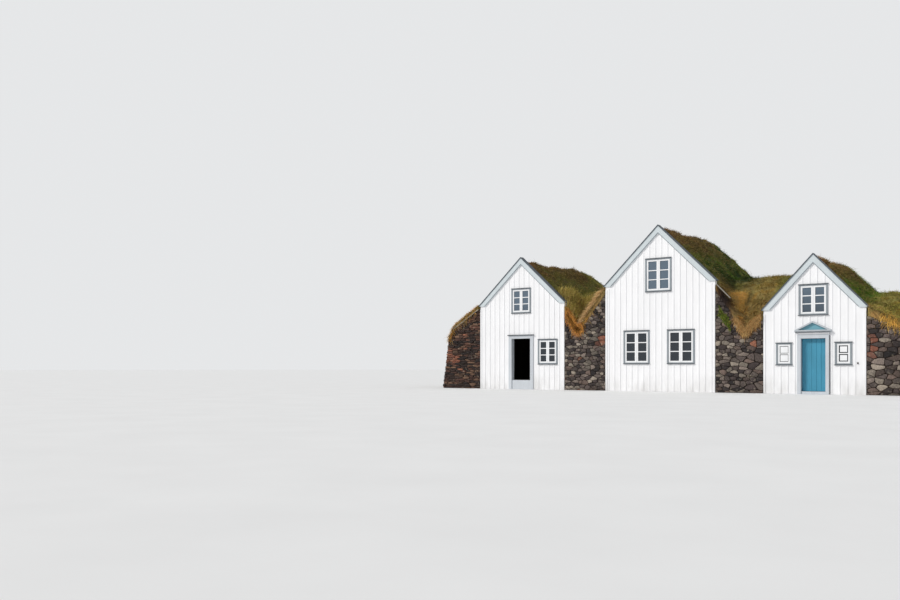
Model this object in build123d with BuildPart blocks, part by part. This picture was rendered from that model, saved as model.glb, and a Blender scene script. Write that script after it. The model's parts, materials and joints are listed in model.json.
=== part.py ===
from build123d import *
from collections import namedtuple
from math import cos, cosh, pi, radians, sin, sqrt, tan
import os

# A row of three timber-fronted turf houses, in millimetres.
# X runs to the right along the front, Y runs from the front to the back, Z is up.
# The origin is on the ground, at the centre of the whole row.

# Widths along the front, from the left end to the right end
left_end_wall_width = 2030
left_house_width = 4080
left_cross_wall_width = 1820
middle_house_width = 4350
right_cross_wall_width = 1720
right_house_width = 3320
right_end_wall_width = 1980

# Depths, from the gable faces backwards
room_depth = 4820
back_wall_foot = 1700
back_batter = 0.125
back_knee_height = 1700
back_upper_batter = 0.3

# Gable fronts of vertical boards, and the roofs behind them
gable_thickness = 180
left_pitch_degrees = 42.9
middle_pitch_degrees = 44.6
right_pitch_degrees = 47.3
left_apex_over_window = 1292
middle_apex_over_window = 1254
right_apex_over_window = 1050
verge_overhang = 50
bargeboard_width = 200
bargeboard_thickness = 45
cap_thickness = 30
cap_nosing = 25
cap_end = 10

# Roof boards under the turf, side panels inside, and the floors
deck_thickness = 60
turf_thickness = 250
panel_thickness = 80
floor_thickness = 100
loft_floor_thickness = 100
left_floor_height = 380
middle_floor_height = 240
right_floor_height = 90
left_loft_below_window = 540
middle_loft_below_window = 810
right_loft_below_window = 430

# Tops of the stone and turf walls, across the front
valley_from_left_house = 650
left_valley_height = 2350
valley_from_middle_house = 1075
right_valley_height = 2150
left_wall_over_deck = 200
left_shoulder_width = 1328
left_shoulder_height = 2620
left_corner_width = 1728
left_corner_height = 2100
right_shoulder_width = 1060
right_shoulder_height = 2200
right_corner_width = 1680
right_corner_height = 1800

# Turf over the roofs and walls
turf_hem_height = 1880
turf_hem_edge = 40
turf_clearance = 1
turf_over_wall = 260
turf_crown = 45
turf_ridge_drop = 45
left_turf_rise = -70
middle_turf_rise = 40
right_turf_rise = 20
turf_wave = 30
turf_long_wave = 5800
turf_short_wave = 3100
turf_front_dip = 80
turf_dip_reach = 400
turf_back_skirt = 130
turf_back_lean = 1300
turf_back_radius = 830
turf_back_turn_degrees = 75

# Turf heaped over the walls: each heap rises behind the front and falls again to the back
left_end_heap_height = 3900
left_valley_heap_height = 4150
right_valley_heap_height = 4400
right_end_heap_height = 3600
heap_setback = 150
heap_depth_below_wall = 100
heap_crest_share = 0.56
heap_back_height = 2500
end_heap_level = 500

# Windows: outer sizes over the casing, and the heights of their sills
casing_width = 60
casing_thickness = 28
window_cap_height = 24
window_cap_reach = 18
window_nosing = 22
sash_width = 62
sash_depth = 45
sash_projection = 9
meeting_width = 130
glass_thickness = 6
left_upper_window_width = 940
left_upper_window_height = 1055
left_upper_sill = 3160
left_lower_window_width = 910
left_lower_window_height = 1045
left_lower_sill = 1030
left_lower_window_offset = 1268
middle_upper_window_width = 1040
middle_upper_window_height = 1280
middle_upper_sill = 3760
middle_lower_window_width = 1060
middle_lower_window_height = 1295
middle_lower_sill = 1035
middle_lower_window_offset = 880
right_upper_window_width = 950
right_upper_window_height = 1075
right_upper_window_over_pediment = 195
right_lower_window_width = 535
right_lower_window_height = 785
right_lower_sill = 985
right_lower_window_offset = 960

# Doorways: clear openings, the boards that line them and the trim around them
jamb_thickness = 30
left_door_width = 900
left_door_top = 2110
left_trim_width = 145
left_trim_head = 130
right_door_width = 800
right_door_top = 1900
right_trim_width = 120
right_trim_head = 100
frieze_height = 100
trim_thickness = 35

# Pediment over the right-hand door
cornice_half_width = 587
cornice_height = 86
cornice_projection = 125
cornice_bed = 55
cornice_lip_height = 52
cornice_curve_radius = 100
pediment_rise = 299
raking_thickness = 48
tympanum_projection = 45

# Right-hand door, hung on two eyes that sit over pins
door_leaf_thickness = 45
door_gap = 6
door_swing_gap = 9
hinge_setback = 20
hinge_eye_radius = 15
hinge_eye_height = 60
hinge_pin_radius = 7
hinge_clearance = 0.3
hinge_knuckle_width = 30
hinge_knuckle_inset = 9
hinge_plate_thickness = 8
hinge_strap_length = 420
hinge_strap_height = 40
hinge_from_top = 260

# Places worked out from the sizes above
row_width = (
    left_end_wall_width + left_house_width + left_cross_wall_width + middle_house_width
    + right_cross_wall_width + right_house_width + right_end_wall_width
)
row_left = -row_width / 2
row_right = row_width / 2
left_house_west = row_left + left_end_wall_width
left_house_east = left_house_west + left_house_width
middle_house_west = left_house_east + left_cross_wall_width
middle_house_east = middle_house_west + middle_house_width
right_house_west = middle_house_east + right_cross_wall_width
right_house_east = right_house_west + right_house_width
left_valley = left_house_east + valley_from_left_house
right_valley = middle_house_east + valley_from_middle_house

row_depth = gable_thickness + room_depth + back_wall_foot
front_y = (cornice_projection - row_depth) / 2
inner_y = front_y + gable_thickness
back_wall_y = inner_y + room_depth
foot_y = front_y + row_depth
knee_y = foot_y - back_knee_height * back_batter

cornice_bottom = right_door_top + right_trim_head + frieze_height
pediment_top = cornice_bottom + cornice_height + pediment_rise
right_upper_sill = pediment_top + right_upper_window_over_pediment

Window = namedtuple("Window", "offset sill width height lights ears")
left_upper_window = Window(
    0, left_upper_sill, left_upper_window_width, left_upper_window_height, 2, 0
)
left_lower_window = Window(
    left_lower_window_offset, left_lower_sill, left_lower_window_width, left_lower_window_height, 2, 0
)
left_windows = [left_upper_window, left_lower_window]
middle_upper_window = Window(
    0, middle_upper_sill, middle_upper_window_width, middle_upper_window_height, 2, 0
)
middle_windows = [middle_upper_window] + [
    Window(offset, middle_lower_sill, middle_lower_window_width, middle_lower_window_height, 2, 0)
    for offset in (-middle_lower_window_offset, middle_lower_window_offset)
]
right_upper_window = Window(
    0, right_upper_sill, right_upper_window_width, right_upper_window_height, 2, window_cap_reach
)
right_windows = [right_upper_window] + [
    Window(offset, right_lower_sill, right_lower_window_width, right_lower_window_height, 1, window_cap_reach)
    for offset in (-right_lower_window_offset, right_lower_window_offset)
]

House = namedtuple("House", "center half apex slope pitch floor loft turf_rise")


def make_house(west, east, upper_window, apex_over_window, pitch_degrees, floor, loft_drop, turf_rise):
    pitch = radians(pitch_degrees)
    return House(
        center=(west + east) / 2,
        half=(east - west) / 2,
        apex=upper_window.sill + upper_window.height + apex_over_window,
        slope=tan(pitch),
        pitch=pitch,
        floor=floor,
        loft=upper_window.sill - loft_drop,
        turf_rise=turf_rise,
    )


left_house = make_house(
    left_house_west, left_house_east, left_upper_window, left_apex_over_window, left_pitch_degrees,
    left_floor_height, left_loft_below_window, left_turf_rise
)
middle_house = make_house(
    middle_house_west, middle_house_east, middle_upper_window, middle_apex_over_window, middle_pitch_degrees,
    middle_floor_height, middle_loft_below_window, middle_turf_rise
)
right_house = make_house(
    right_house_west, right_house_east, right_upper_window, right_apex_over_window, right_pitch_degrees,
    right_floor_height, right_loft_below_window, right_turf_rise
)
ridge_top = max(left_house.apex, middle_house.apex, right_house.apex) + row_depth


def roof_height(house, x, depth_below=0):
    """Height of a roof plane at x, measured square to the slope below the verge cap's top."""
    return house.apex - depth_below / cos(house.pitch) - house.slope * abs(x - house.center)


def deck_edge_height(house):
    """Height of the roof boards' top where they meet a side wall."""
    return roof_height(house, house.center + house.half, turf_thickness)


def save(piece, name):
    piece.part.label = name
    export_step(piece.part, f"parts/{name}.step")


def prism(points, y_from, y_to):
    """A solid with the given front outline, from one depth to another."""
    with BuildPart() as solid:
        with BuildSketch(Plane.XZ.offset(-y_from)):
            with BuildLine():
                Polyline(*points, close=True)
            make_face()
        extrude(amount=y_from - y_to)
    return solid


def block(x_from, x_to, y_from, y_to, z_from, z_to):
    return prism([(x_from, z_from), (x_to, z_from), (x_to, z_to), (x_from, z_to)], y_from, y_to)


def behind_the_back():
    """Everything behind the sloping back faces of the walls."""
    with BuildPart() as solid:
        with BuildSketch(Plane.YZ.offset(row_left - row_width)):
            with BuildLine():
                Polyline(
                    (foot_y, 0),
                    (knee_y, back_knee_height),
                    (knee_y - (ridge_top - back_knee_height) * back_upper_batter, ridge_top),
                    (foot_y + row_depth, ridge_top),
                    (foot_y + row_depth, 0),
                    close=True,
                )
            make_face()
        extrude(amount=3 * row_width)
    return solid


back_space = behind_the_back()


def masonry_wall(name, points, y_from):
    """A wall of stone and turf, with its back face sloping in as it rises."""
    with BuildPart() as wall:
        add(prism(points, y_from, foot_y).part)
        add(back_space.part, mode=Mode.SUBTRACT)
    save(wall, name)


def chevron(house, top_below, thickness, y_from, y_to, reach):
    """Two sloping boards joined at the ridge, cut off plumb at their lower ends."""
    west = house.center - reach
    east = house.center + reach
    low = top_below + thickness
    return prism(
        [
            (west, roof_height(house, west, low)),
            (west, roof_height(house, west, top_below)),
            (house.center, roof_height(house, house.center, top_below)),
            (east, roof_height(house, east, top_below)),
            (east, roof_height(house, east, low)),
            (house.center, roof_height(house, house.center, low)),
        ],
        y_from,
        y_to,
    )


# Stone and turf walls at the ends, between the houses and behind the rooms
left_corner = (left_house_west - left_corner_width, left_corner_height)
left_shoulder = (left_house_west - left_shoulder_width, left_shoulder_height)
left_wall_top = (left_house_west, deck_edge_height(left_house) + left_wall_over_deck)
left_dip = (left_valley, left_valley_height)
right_dip = (right_valley, right_valley_height)
right_shoulder = (right_house_east + right_shoulder_width, right_shoulder_height)
right_corner = (right_house_east + right_corner_width, right_corner_height)

left_end_profile = [(row_left, 0), (left_house_west, 0), left_wall_top, left_shoulder, left_corner]
left_cross_profile = [
    (left_house_east, 0),
    (middle_house_west, 0),
    (middle_house_west, deck_edge_height(middle_house)),
    left_dip,
    (left_house_east, deck_edge_height(left_house)),
]
right_cross_profile = [
    (middle_house_east, 0),
    (right_house_west, 0),
    (right_house_west, deck_edge_height(right_house)),
    right_dip,
    (middle_house_east, deck_edge_height(middle_house)),
]
right_end_profile = [
    (right_house_east, 0),
    (row_right, 0),
    right_corner,
    right_shoulder,
    (right_house_east, deck_edge_height(right_house)),
]


def back_wall_profile(house):
    west = house.center - house.half
    east = house.center + house.half
    return [
        (west, 0),
        (east, 0),
        (east, deck_edge_height(house)),
        (house.center, roof_height(house, house.center, turf_thickness)),
        (west, deck_edge_height(house)),
    ]


# Windows, each a casing with a sill and a head, a sash in one or two lights, and its glass
def hole_size(window):
    return window.width - 2 * casing_width, window.height - 2 * casing_width


def light_size(window):
    """Width and height of each light of glass."""
    hole_width, hole_height = hole_size(window)
    glass_width = hole_width - 2 * sash_width - (window.lights - 1) * meeting_width
    return glass_width / window.lights, hole_height - 2 * sash_width


def window_frame(house, window):
    x = house.center + window.offset
    middle = window.sill + window.height / 2
    light_width, light_height = light_size(window)
    with BuildPart() as frame_and_sash:
        with BuildSketch(Plane.XZ.offset(-front_y)):
            with Locations((x, middle)):
                Rectangle(window.width, window.height)
                Rectangle(*hole_size(window), mode=Mode.SUBTRACT)
        extrude(amount=casing_thickness)
        with BuildSketch(Plane.XZ.offset(-front_y - sash_depth)):
            with Locations((x, middle)):
                Rectangle(*hole_size(window))
                with GridLocations(light_width + meeting_width, 0, window.lights, 1):
                    Rectangle(light_width, light_height, mode=Mode.SUBTRACT)
        extrude(amount=sash_depth + sash_projection)
        with BuildSketch(Plane.XZ.offset(-front_y)):
            with Locations((x, middle)):
                with GridLocations(0, window.height - window_cap_height, 1, 2):
                    Rectangle(window.width + 2 * window.ears, window_cap_height)
        extrude(amount=casing_thickness + window_nosing)
    return frame_and_sash


def window_glass(house, window):
    light_width, light_height = light_size(window)
    with BuildPart() as glass:
        with BuildSketch(Plane.XZ.offset(-front_y - sash_depth / 2)):
            with Locations((house.center + window.offset, window.sill + window.height / 2)):
                with GridLocations(light_width + meeting_width, 0, window.lights, 1):
                    Rectangle(light_width, light_height)
        extrude(amount=glass_thickness)
    return glass


def gable(house, windows):
    """A whole timber gable, up to the underside of its verge cap, with the window holes."""
    west = house.center - house.half
    east = house.center + house.half
    with BuildPart() as wall:
        with BuildSketch(Plane.XZ.offset(-front_y)):
            with BuildLine():
                Polyline(
                    (west, 0),
                    (east, 0),
                    (east, roof_height(house, east, cap_thickness)),
                    (house.center, roof_height(house, house.center, cap_thickness)),
                    (west, roof_height(house, west, cap_thickness)),
                    close=True,
                )
            make_face()
            for window in windows:
                with Locations((house.center + window.offset, window.sill + window.height / 2)):
                    Rectangle(*hole_size(window), mode=Mode.SUBTRACT)
        extrude(amount=-gable_thickness)
    return wall


def split_gable(house, windows, side, door_width, door_top):
    """A gable with a doorway, as a wall at each side of it and a wall over it."""
    rough_half = door_width / 2 + jamb_thickness
    rough_top = door_top + jamb_thickness
    whole = gable(house, windows)
    with BuildPart() as west_wall:
        add(whole.part)
        split(bisect_by=Plane.XY.offset(rough_top), keep=Keep.BOTTOM)
        split(bisect_by=Plane.YZ.offset(house.center - rough_half), keep=Keep.BOTTOM)
    save(west_wall, f"{side}_gable_west")
    with BuildPart() as east_wall:
        add(whole.part)
        split(bisect_by=Plane.XY.offset(rough_top), keep=Keep.BOTTOM)
        split(bisect_by=Plane.YZ.offset(house.center + rough_half), keep=Keep.TOP)
    save(east_wall, f"{side}_gable_east")
    with BuildPart() as over_wall:
        add(whole.part)
        split(bisect_by=Plane.XY.offset(rough_top), keep=Keep.TOP)
    save(over_wall, f"{side}_gable_over")


def door_frame(house, door_width, door_top, trim_width, trim_head, frieze):
    """Boards lining a doorway, the sill under it and the flat trim around it."""
    rough_width = door_width + 2 * jamb_thickness
    rough_top = door_top + jamb_thickness
    opening_height = door_top - house.floor
    opening_middle = house.floor + opening_height / 2
    trim_top = door_top + trim_head + frieze
    with BuildPart() as frame_boards:
        with BuildSketch(Plane.XZ.offset(-front_y)):
            with Locations((house.center, rough_top / 2)):
                Rectangle(rough_width, rough_top)
            with Locations((house.center, opening_middle)):
                Rectangle(door_width, opening_height, mode=Mode.SUBTRACT)
        extrude(amount=-gable_thickness)
        with BuildSketch(Plane.XZ.offset(-front_y)):
            with Locations((house.center, trim_top / 2)):
                Rectangle(door_width + 2 * trim_width, trim_top)
            with Locations((house.center, door_top / 2)):
                Rectangle(door_width, door_top, mode=Mode.SUBTRACT)
        extrude(amount=trim_thickness)
    return frame_boards


# Turf over one house, and down over the walls beside it to the valleys
turf_back_y = foot_y - turf_back_skirt
turf_level_end = turf_back_y - turf_back_lean
turf_knots = (-0.96, -0.6, -0.3, -0.1, 0, 0.1, 0.3, 0.6, 0.96)
turf_stations = [front_y + (turf_level_end - front_y) * share for share in (0, 0.18, 0.39, 0.6, 0.8, 1)]


def settled(y):
    """How far the turf has swelled at one depth; it dips behind the verge caps."""
    wave = turf_wave * (sin(2 * pi * y / turf_long_wave) + sin(2 * pi * y / turf_short_wave))
    return wave - turf_front_dip / cosh((y - front_y) / turf_dip_reach)


def ridge_height(house):
    """Top of the turf where it starts to round down at the back."""
    return house.apex - turf_ridge_drop + house.turf_rise + settled(turf_level_end)


def turf_section(house, west, east, y):
    """Front view of the turf at one depth; west and east lead down to its lower edges."""
    points = [(x, z + turf_over_wall + settled(y)) for x, z in west]
    for knot in turf_knots:
        x = house.center + knot * house.half
        crown = turf_crown * (1 - knot ** 2) if knot else -turf_ridge_drop
        points.append((x, roof_height(house, x) + crown + house.turf_rise * (1 - abs(knot)) + settled(y)))
    points += [(x, z + turf_over_wall + settled(y)) for x, z in east]
    with BuildSketch(Plane.XZ.offset(-y)) as section:
        with BuildLine():
            Polyline((points[0][0], turf_hem_height), *points, (points[-1][0], turf_hem_height), close=True)
        make_face()
    return section.sketch


def turf_back(house):
    """Side view of the turf, level and then rounding down to its lower edge at the back."""
    ridge = ridge_height(house) + turf_clearance
    with BuildPart() as solid:
        with BuildSketch(Plane.YZ.offset(row_left - row_width)):
            with BuildLine():
                center = (turf_level_end, ridge - turf_back_radius)
                over = CenterArc(center, turf_back_radius, 90, -turf_back_turn_degrees)
                down = TangentArc(over @ 1, (turf_back_y, turf_hem_height + turf_hem_edge), tangent=over % 1)
                Polyline(
                    down @ 1,
                    (turf_back_y, 0),
                    (front_y - row_depth, 0),
                    (front_y - row_depth, ridge_top),
                    (turf_level_end, ridge_top),
                    over @ 0,
                )
            make_face()
        extrude(amount=3 * row_width)
    return solid


def heap(outline, wall_height, crest):
    """A heap with the given front outline under one long arc from the front to the back."""
    start = (front_y + heap_setback, wall_height - heap_depth_below_wall)
    highest = (front_y + heap_crest_share * row_depth, crest)
    end = (turf_back_y, heap_back_height)
    with BuildPart() as solid:
        with BuildSketch(Plane.YZ.offset(row_left - row_width)):
            with BuildLine():
                ThreePointArc(start, highest, end)
                Polyline(end, (end[0], turf_hem_height), (start[0], turf_hem_height), start)
            make_face()
        extrude(amount=3 * row_width)
        add(prism(outline, front_y - row_depth, foot_y + row_depth).part, mode=Mode.INTERSECT)
    return solid


def valley_heap(house, valley, crest):
    """Turf that fills half of a valley, from the middle of a house to the valley's line."""
    outline = [(house.center, 0), (house.center, crest), (valley[0], crest), (valley[0], 0)]
    return heap(outline, valley[1], crest)


def end_heap(house, shoulder, corner, crest):
    """Turf heaped against the outer side of an end house, falling away to the wall's corner."""
    outward = 1 if corner[0] > house.center else -1
    level_end = house.center + outward * (house.half + end_heap_level)
    outline = [
        (house.center, 0),
        (house.center, crest),
        (level_end, crest),
        (corner[0], corner[1] + turf_over_wall),
        (corner[0], 0),
    ]
    return heap(outline, shoulder[1], crest)


def turf_cover(house, west, east, heaps):
    """The turf blanket over a house, before it is cut to the valleys and the ridge."""
    with BuildPart() as cover:
        loft([turf_section(house, west, east, y) for y in turf_stations], ruled=True)
        extrude(turf_section(house, west, east, turf_level_end), amount=-turf_back_lean)
        for solid in heaps:
            add(solid.part)
        add(turf_back(house).part, mode=Mode.INTERSECT)
        add(space_under_turf(house, west, east).part, mode=Mode.SUBTRACT)
        add(gable_slot(house).part, mode=Mode.SUBTRACT)
    return cover


def gable_slot(house):
    """Space kept for the gable, its bargeboards and its cap."""
    reach = house.half + verge_overhang + cap_end
    return block(
        house.center - reach,
        house.center + reach,
        front_y - row_depth,
        inner_y,
        roof_height(house, house.center + reach, cap_thickness + bargeboard_width),
        ridge_top,
    )


def space_under_turf(house, west_points, east_points):
    """What the turf lies on: the walls beside a house, its roof boards and all below them."""
    points = west_points + [
        (house.center - house.half, deck_edge_height(house)),
        (house.center, roof_height(house, house.center, turf_thickness)),
        (house.center + house.half, deck_edge_height(house)),
    ] + east_points
    with BuildPart() as solid:
        add(prism([(points[0][0], 0)] + points + [(points[-1][0], 0)], front_y - row_depth, foot_y).part)
        add(back_space.part, mode=Mode.SUBTRACT)
    return solid


def save_turf(side, house, cover, west_edge, east_edge):
    with BuildPart() as west_turf:
        add(cover.part)
        split(bisect_by=Plane.YZ.offset(house.center), keep=Keep.BOTTOM)
        split(bisect_by=Plane.YZ.offset(west_edge), keep=Keep.TOP)
    save(west_turf, f"{side}_turf_west")
    with BuildPart() as east_turf:
        add(cover.part)
        split(bisect_by=Plane.YZ.offset(house.center), keep=Keep.TOP)
        split(bisect_by=Plane.YZ.offset(east_edge), keep=Keep.BOTTOM)
    save(east_turf, f"{side}_turf_east")


def house_shell(side, house):
    """The boards and panels that every house has behind its gable."""
    reach = house.half + verge_overhang
    face = cap_thickness
    board_end = reach - bargeboard_width / sin(house.pitch)
    end_height = roof_height(house, house.center + reach, face)
    boards = prism(
        [
            (house.center - reach, end_height),
            (house.center, roof_height(house, house.center, face)),
            (house.center + reach, end_height),
            (house.center + board_end, end_height),
            (house.center, roof_height(house, house.center, face + bargeboard_width)),
            (house.center - board_end, end_height),
        ],
        front_y - bargeboard_thickness,
        front_y,
    )
    save(boards, f"{side}_bargeboards")
    cap_front = front_y - bargeboard_thickness - cap_nosing
    cap = chevron(house, 0, cap_thickness, cap_front, inner_y, reach + cap_end)
    save(cap, f"{side}_verge_cap")
    deck = chevron(house, turf_thickness, deck_thickness, inner_y, back_wall_y, house.half)
    save(deck, f"{side}_roof_boards")
    with BuildPart() as panels:
        for edge, into in ((house.center - house.half, 1), (house.center + house.half, -1)):
            inside = edge + into * panel_thickness
            low = turf_thickness + deck_thickness
            add(
                prism(
                    [
                        (edge, 0),
                        (inside, 0),
                        (inside, roof_height(house, inside, low)),
                        (edge, roof_height(house, edge, low)),
                    ],
                    inner_y,
                    back_wall_y,
                ).part
            )
    save(panels, f"{side}_side_panels")
    inner_half = house.half - panel_thickness
    west = house.center - inner_half
    east = house.center + inner_half
    save(block(west, east, inner_y, back_wall_y, house.floor - floor_thickness, house.floor), f"{side}_floor")
    save(
        block(west, east, inner_y, back_wall_y, house.loft - loft_floor_thickness, house.loft),
        f"{side}_loft_floor",
    )


def save_windows(side, house, windows):
    with BuildPart() as frames:
        for window in windows:
            add(window_frame(house, window).part)
    save(frames, f"{side}_window_frames")
    with BuildPart() as panes:
        for window in windows:
            add(window_glass(house, window).part)
    save(panes, f"{side}_window_glass")


# Pediment: a moulded cornice, two raking cornices and the panel between them
cornice_top = cornice_bottom + cornice_height
pediment_slope = pediment_rise / cornice_half_width
rake_height = raking_thickness * sqrt(1 + pediment_slope ** 2)
tympanum_half_width = cornice_half_width - rake_height / pediment_slope


def cornice(house):
    with BuildPart() as mouldings:
        with BuildSketch(Plane.YZ.offset(house.center - cornice_half_width)):
            with BuildLine():
                bed = Line((front_y, cornice_bottom), (front_y - cornice_bed, cornice_bottom))
                lip = (front_y - cornice_projection, cornice_bottom + cornice_lip_height)
                RadiusArc(bed @ 1, lip, cornice_curve_radius)
                Polyline(lip, (front_y - cornice_projection, cornice_top), (front_y, cornice_top), bed @ 0)
            make_face()
        extrude(amount=2 * cornice_half_width)
        with BuildSketch(Plane.XZ.offset(-front_y)):
            with BuildLine():
                Polyline(
                    (house.center - cornice_half_width, cornice_top),
                    (house.center, pediment_top),
                    (house.center + cornice_half_width, cornice_top),
                    (house.center + tympanum_half_width, cornice_top),
                    (house.center, pediment_top - rake_height),
                    (house.center - tympanum_half_width, cornice_top),
                    close=True,
                )
            make_face()
        extrude(amount=cornice_projection)
    return mouldings


def tympanum(house):
    return prism(
        [
            (house.center - tympanum_half_width, cornice_top),
            (house.center + tympanum_half_width, cornice_top),
            (house.center, pediment_top - rake_height),
        ],
        front_y - tympanum_projection,
        front_y,
    )


# Right-hand door, hinged at its right side and opening inwards
hinge_x = right_house.center + right_door_width / 2 - door_gap
leaf_back_y = inner_y
leaf_front_y = leaf_back_y - door_leaf_thickness
hinge_y = leaf_back_y + hinge_setback
leaf_west = right_house.center - right_door_width / 2 + door_swing_gap
leaf_bottom = right_floor_height + door_gap
leaf_top = right_door_top - door_gap
hinge_heights = (leaf_bottom + hinge_from_top, leaf_top - hinge_from_top - hinge_eye_height)


def door_leaf():
    knuckle_depth = hinge_setback + hinge_plate_thickness / 2
    knuckle_x = hinge_x - hinge_knuckle_inset - hinge_knuckle_width / 2
    strap_x = hinge_x - hinge_eye_radius - hinge_strap_length / 2
    with BuildPart() as leaf:
        with BuildSketch(Plane.XY.offset(leaf_bottom)):
            with Locations(((leaf_west + hinge_x) / 2, (leaf_front_y + leaf_back_y) / 2)):
                Rectangle(hinge_x - leaf_west, door_leaf_thickness)
        extrude(amount=leaf_top - leaf_bottom)
        for z in hinge_heights:
            with BuildSketch(Plane.XZ.offset(-leaf_back_y)):
                with Locations((strap_x, z + hinge_eye_height / 2)):
                    Rectangle(hinge_strap_length, hinge_strap_height)
            extrude(amount=-hinge_plate_thickness)
            with BuildSketch(Plane.XY.offset(z)):
                with Locations((hinge_x, hinge_y)):
                    Circle(hinge_eye_radius)
                with Locations((knuckle_x, leaf_back_y + knuckle_depth / 2)):
                    Rectangle(hinge_knuckle_width, knuckle_depth)
                with Locations((hinge_x, hinge_y)):
                    Circle(hinge_pin_radius + hinge_clearance, mode=Mode.SUBTRACT)
            extrude(amount=hinge_eye_height)
    return leaf


def hinge_pin(eye_bottom):
    """A pin on an arm from the back of the door frame, under one eye of the door."""
    arm_top = eye_bottom - hinge_clearance
    arm_bottom = arm_top - 2 * hinge_plate_thickness
    jamb_west = right_house.center + right_door_width / 2
    jamb_east = jamb_west + jamb_thickness
    with BuildPart() as pin:
        with BuildSketch(Plane.XY.offset(arm_bottom)):
            with Locations((hinge_x, hinge_y)):
                Circle(hinge_eye_radius)
            with Locations(((hinge_x + jamb_east) / 2, hinge_y)):
                Rectangle(jamb_east - hinge_x, hinge_plate_thickness * 2)
            with Locations(((jamb_west + jamb_east) / 2, (inner_y + hinge_y) / 2)):
                Rectangle(jamb_thickness, hinge_y - inner_y)
        extrude(amount=arm_top - arm_bottom)
        with BuildSketch(Plane.XY.offset(arm_top)):
            with Locations((hinge_x, hinge_y)):
                Circle(hinge_pin_radius)
        extrude(amount=hinge_eye_height + hinge_clearance)
    return pin


os.makedirs("parts", exist_ok=True)

masonry_wall("left_end_wall", left_end_profile, front_y)
masonry_wall("left_cross_wall", left_cross_profile, front_y)
masonry_wall("right_cross_wall", right_cross_profile, front_y)
masonry_wall("right_end_wall", right_end_profile, front_y)
masonry_wall("left_back_wall", back_wall_profile(left_house), back_wall_y)
masonry_wall("middle_back_wall", back_wall_profile(middle_house), back_wall_y)
masonry_wall("right_back_wall", back_wall_profile(right_house), back_wall_y)

for side, house in (("left", left_house), ("middle", middle_house), ("right", right_house)):
    house_shell(side, house)

split_gable(left_house, left_windows, "left", left_door_width, left_door_top)
split_gable(right_house, right_windows, "right", right_door_width, right_door_top)
save(gable(middle_house, middle_windows), "middle_gable")

save_windows("left", left_house, left_windows)
save_windows("middle", middle_house, middle_windows)
save_windows("right", right_house, right_windows)

left_frame = door_frame(left_house, left_door_width, left_door_top, left_trim_width, left_trim_head, 0)
save(left_frame, "left_door_frame")

with BuildPart() as right_frame:
    add(
        door_frame(
            right_house, right_door_width, right_door_top, right_trim_width, right_trim_head, frieze_height
        ).part
    )
    for pin_height in hinge_heights:
        add(hinge_pin(pin_height).part)
save(right_frame, "right_door_frame")
save(door_leaf(), "right_door")

save(cornice(right_house), "door_cornice")
save(tympanum(right_house), "tympanum")

left_heaps = [
    end_heap(left_house, left_shoulder, left_corner, left_end_heap_height),
    valley_heap(left_house, left_dip, left_valley_heap_height),
]
left_cover = turf_cover(left_house, [left_corner, left_shoulder, left_wall_top], [left_dip], left_heaps)
save_turf("left", left_house, left_cover, row_left, left_valley)

middle_heaps = [
    valley_heap(middle_house, left_dip, left_valley_heap_height),
    valley_heap(middle_house, right_dip, right_valley_heap_height),
]
middle_cover = turf_cover(middle_house, [left_dip], [right_dip], middle_heaps)
save_turf("middle", middle_house, middle_cover, left_valley, right_valley)

right_heaps = [
    valley_heap(right_house, right_dip, right_valley_heap_height),
    end_heap(right_house, right_shoulder, right_corner, right_end_heap_height),
]
right_cover = turf_cover(right_house, [right_dip], [right_shoulder, right_corner], right_heaps)
save_turf("right", right_house, right_cover, right_valley, row_right)
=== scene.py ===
import json
from collections import namedtuple
from math import atan, cos, hypot, radians, sin
from types import SimpleNamespace

import bmesh
import bpy
import numpy as np
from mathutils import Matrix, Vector, noise
from mathutils.bvhtree import BVHTree


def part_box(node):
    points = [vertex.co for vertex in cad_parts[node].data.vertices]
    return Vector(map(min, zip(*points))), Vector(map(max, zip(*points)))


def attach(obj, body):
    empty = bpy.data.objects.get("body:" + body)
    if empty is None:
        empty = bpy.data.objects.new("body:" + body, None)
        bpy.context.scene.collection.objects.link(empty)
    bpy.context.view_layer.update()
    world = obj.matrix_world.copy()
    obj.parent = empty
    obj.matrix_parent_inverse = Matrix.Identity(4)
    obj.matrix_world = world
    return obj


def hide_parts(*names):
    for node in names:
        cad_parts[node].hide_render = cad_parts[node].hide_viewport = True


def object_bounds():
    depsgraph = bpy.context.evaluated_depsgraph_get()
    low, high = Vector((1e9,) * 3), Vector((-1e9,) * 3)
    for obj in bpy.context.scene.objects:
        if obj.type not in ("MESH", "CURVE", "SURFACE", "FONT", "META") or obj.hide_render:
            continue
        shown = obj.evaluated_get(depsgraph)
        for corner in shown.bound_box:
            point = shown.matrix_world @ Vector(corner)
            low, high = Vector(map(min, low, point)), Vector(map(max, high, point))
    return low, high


# A row of three timber-fronted turf houses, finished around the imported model. Sizes are in metres.
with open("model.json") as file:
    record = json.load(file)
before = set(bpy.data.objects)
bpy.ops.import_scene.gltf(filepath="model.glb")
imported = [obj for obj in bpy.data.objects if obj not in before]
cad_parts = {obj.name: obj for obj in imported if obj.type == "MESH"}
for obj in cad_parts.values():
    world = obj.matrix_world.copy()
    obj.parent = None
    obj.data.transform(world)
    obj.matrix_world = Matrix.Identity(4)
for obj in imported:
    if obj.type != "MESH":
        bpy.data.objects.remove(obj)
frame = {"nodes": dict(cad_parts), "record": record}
cad_low, cad_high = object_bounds()
nodes = frame["nodes"]
row = "house_row"
leaf = "right_door_leaf"
sides = ("left", "middle", "right")

# Camera, solved from the edges of the gables in the photograph
camera_place = (13.606, -34.7875, 0.927)
camera_turn_degrees = 35.96
camera_settings = {"lens": 35.245, "sensor_width": 36, "shift_y": 0.0744, "clip_end": 600}

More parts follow.
